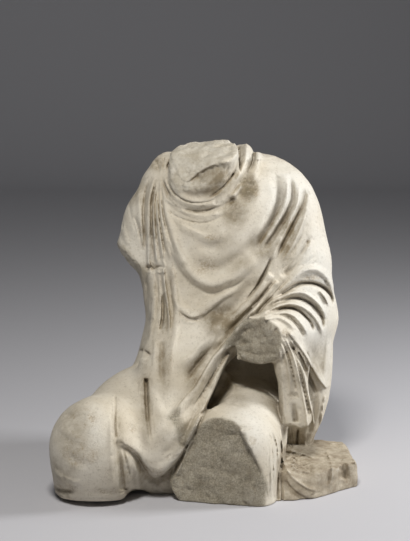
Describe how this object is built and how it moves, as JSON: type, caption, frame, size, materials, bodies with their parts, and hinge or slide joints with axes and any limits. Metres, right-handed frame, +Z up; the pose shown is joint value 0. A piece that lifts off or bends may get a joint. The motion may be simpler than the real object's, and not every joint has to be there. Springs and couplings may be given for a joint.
{
  "type": "seated male statue",
  "caption": "Headless seated male figure in a draped cloak, carved in one block of weathered marble with the remains of its rock seat.",
  "frame": {"origin": "centre of the bounding box at the height of the flat underside", "axes": "+Z up from the underside, the figure faces -Y, its own left side is at +X"},
  "size_m": [0.5951, 0.5021, 0.6627],
  "materials": {
    "marble": "weathered, matt"
  },
  "bodies": {
    "root": {"seated_figure": "marble"}
  },
  "joints": []
}
